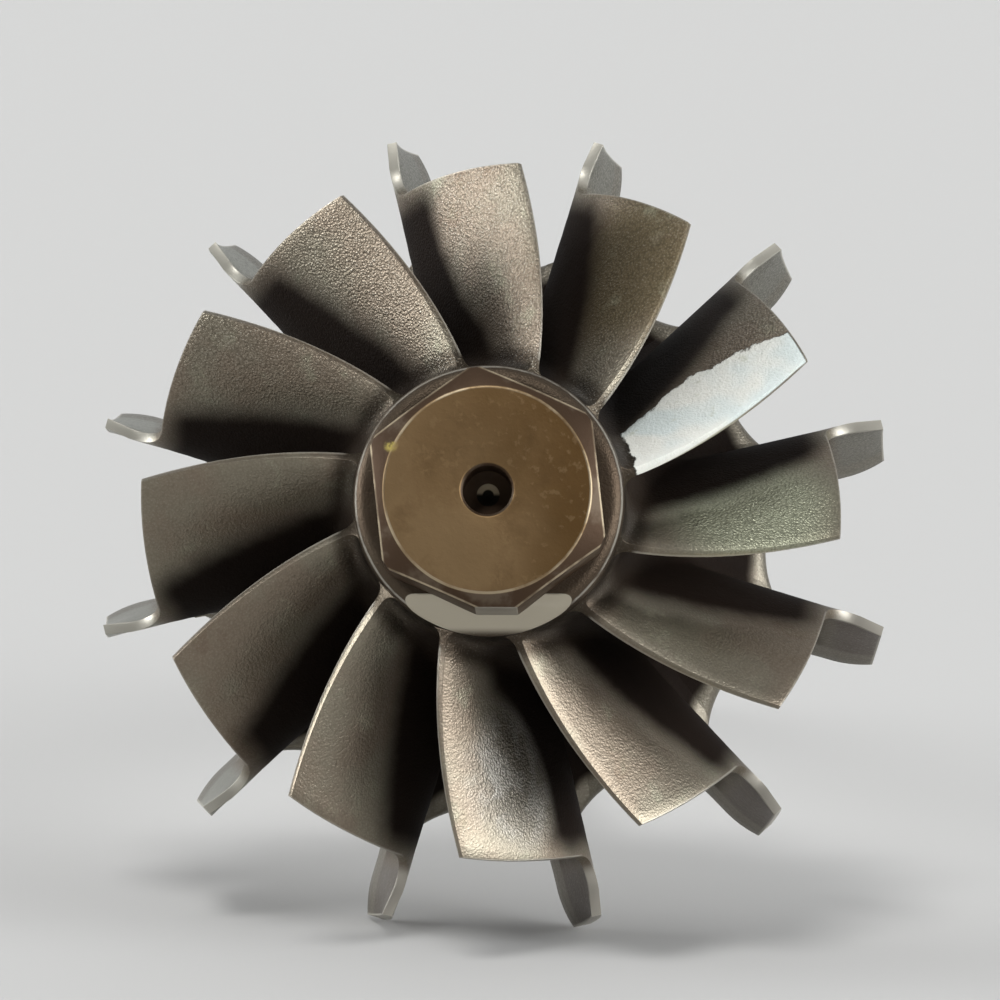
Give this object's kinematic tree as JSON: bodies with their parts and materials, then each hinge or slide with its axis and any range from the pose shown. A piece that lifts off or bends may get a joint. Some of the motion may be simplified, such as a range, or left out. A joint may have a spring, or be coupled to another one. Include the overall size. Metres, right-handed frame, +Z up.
{
  "type": "turbocharger turbine wheel",
  "caption": "Radial-inflow turbine wheel in cast alloy, with curved blades, a scalloped back disc and a hexagonal nose, welded to a steel shaft with journals and a threaded end.",
  "frame": {"origin": "centre of the bounding box at the level of the surface that the wheel lies on", "axes": "+Z up; the shaft runs towards +Y and slants down by about 14 degrees, and the nose points towards -Y and up; +X is to the right seen from the nose"},
  "size_m": [0.0684, 0.1542, 0.0684],
  "materials": {
    "cast_alloy": "investment-cast nickel alloy, sandy grain, brown-grey with heat and soot",
    "shaft_steel": "ground steel, slightly tarnished",
    "ring_iron": "turned ring iron"
  },
  "bodies": {
    "root": {"hex_nose": "cast_alloy", "hub": "cast_alloy", "back_disc": "cast_alloy", "blade_01": "cast_alloy", "blade_02": "cast_alloy", "blade_03": "cast_alloy", "blade_04": "cast_alloy", "blade_05": "cast_alloy", "blade_06": "cast_alloy", "blade_07": "cast_alloy", "blade_08": "cast_alloy", "blade_09": "cast_alloy", "blade_10": "cast_alloy", "blade_11": "cast_alloy", "blade_12": "cast_alloy", "seal_boss": "cast_alloy", "seal_ring": "ring_iron", "shaft": "shaft_steel"}
  },
  "joints": []
}
